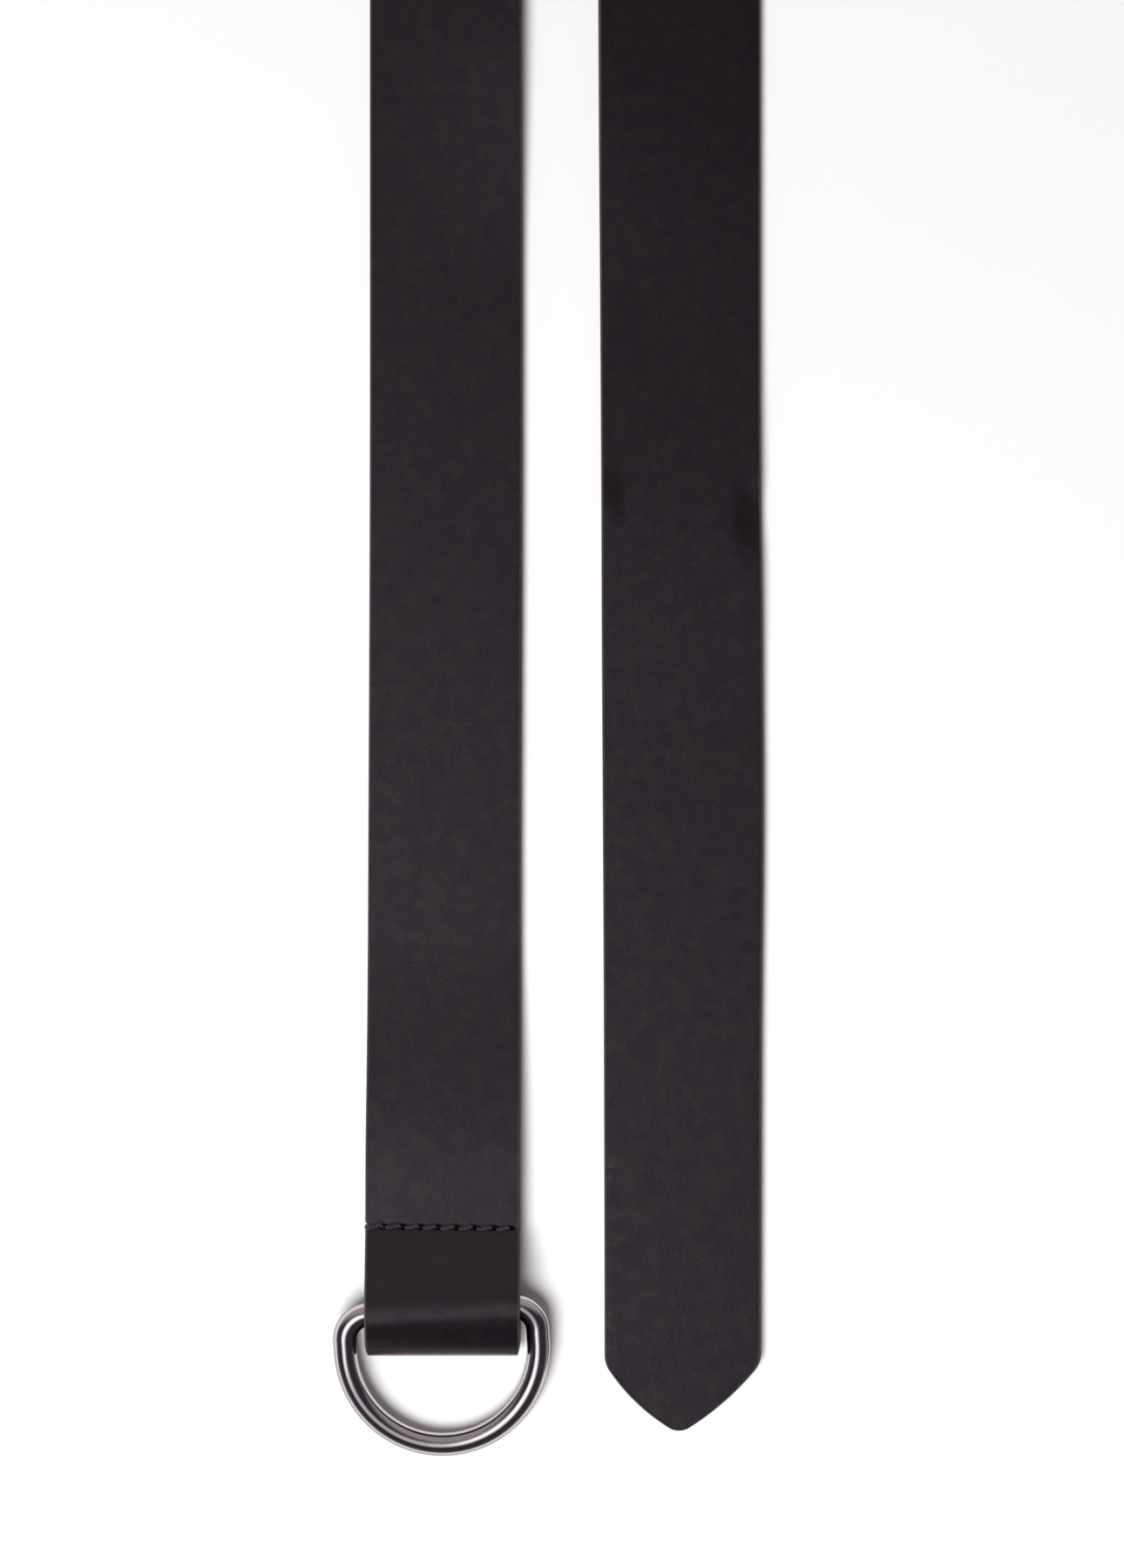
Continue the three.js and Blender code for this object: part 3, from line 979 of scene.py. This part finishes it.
def nickel_material():
    """Dark polished nickel with the faintest haze and wear."""
    n = Nodes("dark_nickel")
    where = n.add("ShaderNodeTexCoord")
    haze = n.noise(where, scale=180, detail=4)
    colour = n.ramp(haze, "Fac", [(0.3, (0.60, 0.565, 0.575)), (0.7, (0.66, 0.63, 0.64))])
    n.join(colour, "Color", n.shader, "Base Color")
    gloss = n.ramp(haze, "Fac", [(0.3, 0.09), (0.7, 0.14)])
    n.join(gloss, "Color", n.shader, "Roughness")
    n.shader.inputs["Metallic"].default_value = 1.0
    n.shader.inputs["Specular Tint"].default_value = (0.32, 0.27, 0.25, 1)
    n.join(n.bump(haze, "Fac", distance=0.00003, strength=0.25), "Normal", n.shader, "Normal")
    return n.material


def floor_material():
    n = Nodes("pale_floor")
    where = n.add("ShaderNodeTexCoord")
    tone = n.noise(where, scale=3, detail=2)
    colour = n.ramp(tone, "Fac", [(0.3, (0.90, 0.90, 0.90)), (0.7, (0.92, 0.92, 0.92))])
    n.join(colour, "Color", n.shader, "Base Color")
    n.shader.inputs["Roughness"].default_value = 0.9
    n.shader.inputs["Specular IOR Level"].default_value = 0.1
    return n.material


def make_camera():
    data = bpy.data.cameras.new("camera")
    data.sensor_width = SENSOR
    data.lens = LENS
    camera = bpy.data.objects.new("camera", data)
    camera.location = (*PHOTO_CENTRE, CAMERA_HEIGHT)
    bpy.context.scene.collection.objects.link(camera)
    bpy.context.scene.camera = camera


def make_floor():
    corners = [(-1, -1), (1, -1), (1, 1), (-1, 1)]
    mesh = bpy.data.meshes.new("floor")
    places = [(x * FLOOR_HALF, y * FLOOR_HALF, FLOOR_Z) for x, y in corners]
    mesh.from_pydata(places, [], [(0, 1, 2, 3)])
    mesh.materials.append(floor_material())
    floor = bpy.data.objects.new("floor", mesh)
    bpy.context.scene.collection.objects.link(floor)


def softbox(name, at, aim, width, radiance, colour):
    """A soft round light, by its place, what it faces, its width and its brightness."""
    data = bpy.data.lights.new(name, "AREA")
    data.shape = "DISK"
    data.size = width
    data.energy = radiance * math.pi * math.pi * width**2 / 4
    data.color = colour
    light = bpy.data.objects.new(name, data)
    light.location = at
    light.rotation_mode = "QUATERNION"
    light.rotation_quaternion = (Vector(aim) - Vector(at)).to_track_quat("-Z", "Y")
    bpy.context.scene.collection.objects.link(light)
    return light


def make_light():
    """A wide key from the lower left, and a softbox overhead that only the gloss shows."""
    aim = Vector(KEY_AIM)
    key = softbox("key", aim + Vector(KEY_PLACE), aim, KEY_WIDTH, KEY_RADIANCE, KEY_COLOUR)
    key.visible_glossy = False
    x, y, z = OVERHEAD_PLACE
    for n, (width, radiance, colour) in enumerate(OVERHEAD):
        at = (x, y, z + OVERHEAD_APART * n)
        glow = softbox(f"overhead_{n}", at, (x, y, 0), width, radiance, colour)
        glow.visible_diffuse = False


def make_world():
    """A dim room: warm grey towards +Y, dark towards -Y, paler by the horizon."""
    world = bpy.data.worlds.new("studio")
    bpy.context.scene.world = world
    world.use_nodes = True
    tree = world.node_tree
    where = tree.nodes.new("ShaderNodeTexCoord")
    split = tree.nodes.new("ShaderNodeSeparateXYZ")
    tree.links.new(where.outputs["Generated"], split.inputs[0])

    def gradient(output, low, high, dark, light):
        span = tree.nodes.new("ShaderNodeMapRange")
        span.interpolation_type = "SMOOTHSTEP"
        span.inputs["From Min"].default_value = low
        span.inputs["From Max"].default_value = high
        mix = tree.nodes.new("ShaderNodeMix")
        mix.data_type = "RGBA"
        mix.inputs["A"].default_value = (*dark, 1)
        mix.inputs["B"].default_value = (*light, 1)
        tree.links.new(split.outputs[output], span.inputs["Value"])
        tree.links.new(span.outputs[0], mix.inputs["Factor"])
        return mix

    wall = gradient("Y", low=0.12, high=0.62, dark=(0.040, 0.034, 0.044), light=(0.40, 0.345, 0.35))
    horizon = gradient("Z", low=0.45, high=0.05, dark=(0, 0, 0), light=(0.13, 0.11, 0.10))
    add = tree.nodes.new("ShaderNodeMix")
    add.data_type = "RGBA"
    add.blend_type = "ADD"
    add.inputs["Factor"].default_value = 1
    tree.links.new(wall.outputs["Result"], add.inputs["A"])
    tree.links.new(horizon.outputs["Result"], add.inputs["B"])
    tree.links.new(add.outputs["Result"], tree.nodes["Background"].inputs["Color"])
    bpy.context.scene.view_settings.view_transform = "Standard"


def main():
    make_camera()
    make_floor()
    make_light()
    make_world()

    strap = make_strap([leather_material(), edge_material_painted_highlight(), flesh_material()])
    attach(strap, "strap")
    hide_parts("strap")

    for stitches in make_stitches(thread_material()):
        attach(stitches, "strap")

    ring = make_ring(nickel_material())
    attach(ring, "ring")
    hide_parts("d_ring")


main()
